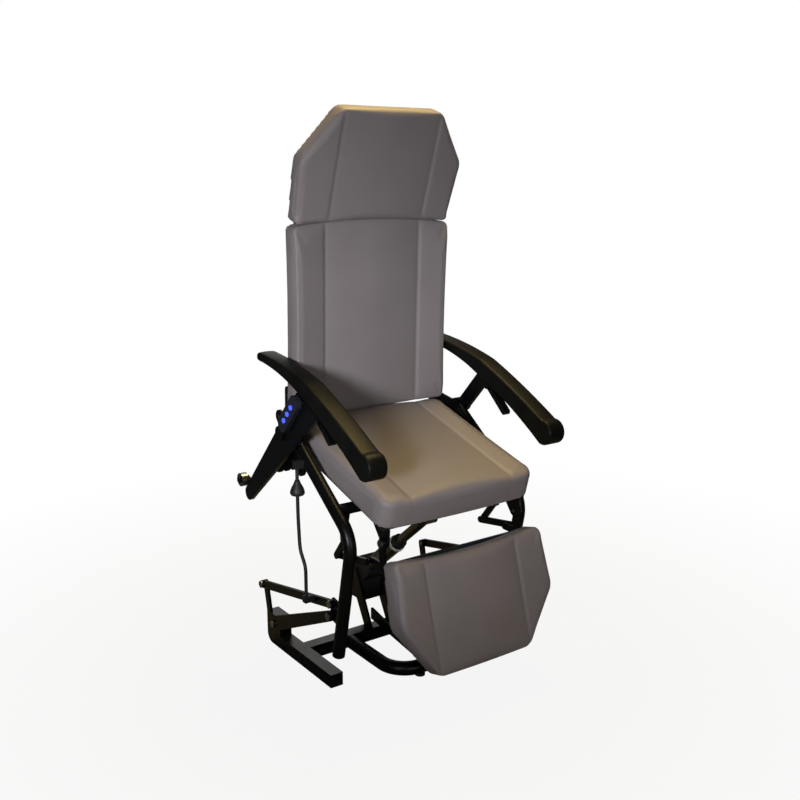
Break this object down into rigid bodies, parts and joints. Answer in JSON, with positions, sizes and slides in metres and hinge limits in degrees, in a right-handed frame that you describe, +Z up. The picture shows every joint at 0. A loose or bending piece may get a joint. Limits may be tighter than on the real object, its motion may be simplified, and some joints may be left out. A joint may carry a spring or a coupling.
{
  "type": "patient rest chair",
  "caption": "Patient rest chair that lifts and tips its seat on a low steel base, with padded back, headrest, leg rest and arms.",
  "frame": {"origin": "on the floor under the middle of the chair, at the raised rest pose", "axes": "+Z up, the sitter faces -Y, +X to the sitter's left hand side as seen from the front"},
  "size_m": [0.702, 0.803, 1.6186],
  "materials": {
    "frame_black": "satin",
    "zinc": "satin",
    "rod_steel": "polished",
    "vinyl": "satin",
    "arm_black": "matte",
    "board_black": "matte",
    "motor_black": "matte",
    "glide_rubber": "matte",
    "handset_black": "gloss",
    "button_blue": "gloss",
    "ring_white": "gloss",
    "cable_black": "satin"
  },
  "bodies": {
    "base": {"base_rails": "frame_black", "rear_posts": "frame_black", "link_struts": "frame_black", "actuator_mast": "frame_black", "mast_braces": "frame_black", "base_cross_tube": "frame_black", "base_front_loop": "frame_black", "floor_glides": "glide_rubber", "base_pivot_pins": "zinc"},
    "upper_links": {"upper_link_left": "frame_black", "upper_link_right": "frame_black", "cable_clip_lower": "motor_black"},
    "lower_links": {"lower_link_left": "frame_black", "lower_link_right": "frame_black"},
    "seat_frame": {"side_tube_left": "frame_black", "side_tube_right": "frame_black", "side_tube_plugs": "motor_black", "arm_pivots": "frame_black", "link_lugs": "frame_black", "hinge_plates": "frame_black", "leg_brackets": "frame_black", "seat_cross_tubes": "frame_black", "seat_board": "board_black", "seat_frame_pins": "zinc", "seat_cushion": "vinyl", "cable_clip_upper": "motor_black", "cable_bulb": "cable_black", "handset_cable": "cable_black"},
    "backrest": {"back_board": "board_black", "back_cushion": "vinyl", "back_frame_tubes": "frame_black", "back_ears": "frame_black", "head_hinge_pins": "zinc"},
    "headrest": {"head_board": "board_black", "head_cushion": "vinyl", "head_arms": "frame_black"},
    "legrest": {"leg_board": "board_black", "leg_cushion": "vinyl", "leg_arms": "frame_black"},
    "leg_rockers": {"leg_rockers": "frame_black"},
    "push_bars": {"push_bars": "frame_black"},
    "left_arm": {"arm_bar_left": "frame_black", "arm_pad_left": "arm_black", "trigger_bracket_left": "frame_black", "handset": "handset_black"},
    "right_arm": {"arm_bar_right": "frame_black", "arm_pad_right": "arm_black", "trigger_bracket_right": "frame_black"},
    "left_trigger": {"trigger_left": "frame_black"},
    "right_trigger": {"trigger_right": "frame_black"},
    "left_roller": {"roller_left": "zinc"},
    "right_roller": {"roller_right": "zinc"},
    "button_1": {"handset_button_1": "button_blue"},
    "button_2": {"handset_button_2": "button_blue"},
    "button_3": {"handset_button_3": "button_blue"},
    "lift_actuator": {"actuator_motor": "motor_black", "actuator_tube": "rod_steel", "actuator_ring": "ring_white", "actuator_gland": "motor_black"},
    "lift_rod": {"actuator_rod": "rod_steel"}
  },
  "joints": [
    {"name": "lift", "type": "hinge", "parent": "base", "child": "upper_links", "pos_m": [0, 0.31254, 0.191], "axis": [1, 0, 0], "range_deg": [0, 6]},
    {"name": "seat_tilt", "type": "hinge", "parent": "upper_links", "child": "seat_frame", "pos_m": [0, -0.0942, 0.27302], "axis": [1, 0, 0], "range_deg": [-21.29, 0], "deforming": ["handset_cable"]},
    {"name": "lower_link_swing", "type": "hinge", "parent": "base", "child": "lower_links", "pos_m": [0, 0.24554, 0.084], "axis": [1, 0, 0], "range_deg": [0, 7.39]},
    {"name": "actuator_swing", "type": "hinge", "parent": "base", "child": "lift_actuator", "pos_m": [0, 0.21054, 0.197], "axis": [1, 0, 0], "range_deg": [0, 0.7]},
    {"name": "actuator_stroke", "type": "slide", "parent": "lift_actuator", "child": "lift_rod", "axis": [0, -0.7724, 0.6351], "range_m": [-0.063, 0]},
    {"name": "back_recline", "type": "hinge", "parent": "seat_frame", "child": "backrest", "pos_m": [0, 0.23458, 0.73722], "axis": [-1, 0, 0], "range_deg": [0, 45]},
    {"name": "headrest_tilt", "type": "hinge", "parent": "backrest", "child": "headrest", "pos_m": [0, 0.21699, 1.29695], "axis": [-1, 0, 0], "range_deg": [0, 25]},
    {"name": "legrest_swing", "type": "hinge", "parent": "seat_frame", "child": "legrest", "pos_m": [0, -0.23728, 0.47812], "axis": [-1, 0, 0], "range_deg": [0, 55]},
    {"name": "leg_rocker_swing", "type": "hinge", "parent": "seat_frame", "child": "leg_rockers", "pos_m": [0, -0.10246, 0.45603], "axis": [-1, 0, 0], "range_deg": [0, 55]},
    {"name": "push_bar_swing", "type": "hinge", "parent": "legrest", "child": "push_bars", "pos_m": [0, -0.1873, 0.41412], "axis": [-1, 0, 0], "range_deg": [-55, 0]},
    {"name": "left_arm_swing", "type": "hinge", "parent": "seat_frame", "child": "left_arm", "pos_m": [0, 0.12787, 0.71646], "axis": [-1, 0, 0], "range_deg": [0, 45]},
    {"name": "right_arm_swing", "type": "hinge", "parent": "seat_frame", "child": "right_arm", "pos_m": [0, 0.12787, 0.71646], "axis": [-1, 0, 0], "range_deg": [0, 45]},
    {"name": "left_trigger_pull", "type": "hinge", "parent": "left_arm", "child": "left_trigger", "pos_m": [-0.305, -0.02673, 0.80322], "axis": [-1, 0, 0], "range_deg": [0, 8], "stiffness_Nm_per_rad": 0.5},
    {"name": "right_trigger_pull", "type": "hinge", "parent": "right_arm", "child": "right_trigger", "pos_m": [0.305, -0.02673, 0.80322], "axis": [-1, 0, 0], "range_deg": [0, 8], "stiffness_Nm_per_rad": 0.5},
    {"name": "left_roller_spin", "type": "hinge", "parent": "left_arm", "child": "left_roller", "pos_m": [-0.333, 0.3813, 0.51637], "axis": [1, 0, 0], "continuous": true},
    {"name": "right_roller_spin", "type": "hinge", "parent": "right_arm", "child": "right_roller", "pos_m": [0.333, 0.3813, 0.51637], "axis": [1, 0, 0], "continuous": true},
    {"name": "button_1_press", "type": "slide", "parent": "left_arm", "child": "button_1", "axis": [1, 0, 0], "range_m": [0, 0.0015], "stiffness_N_per_m": 400},
    {"name": "button_2_press", "type": "slide", "parent": "left_arm", "child": "button_2", "axis": [1, 0, 0], "range_m": [0, 0.0015], "stiffness_N_per_m": 400},
    {"name": "button_3_press", "type": "slide", "parent": "left_arm", "child": "button_3", "axis": [1, 0, 0], "range_m": [0, 0.0015], "stiffness_N_per_m": 400}
  ],
  "couplings": [
    {"joint": "seat_tilt", "follows": "lift", "ratio": -3.515},
    {"joint": "lower_link_swing", "follows": "lift", "ratio": 1.215},
    {"joint": "actuator_swing", "follows": "lift", "ratio": 0.1},
    {"joint": "leg_rocker_swing", "follows": "legrest_swing", "ratio": 1},
    {"joint": "push_bar_swing", "follows": "legrest_swing", "ratio": -1},
    {"joint": "actuator_stroke", "follows": "lift", "m_per_rad": -0.59588}
  ]
}
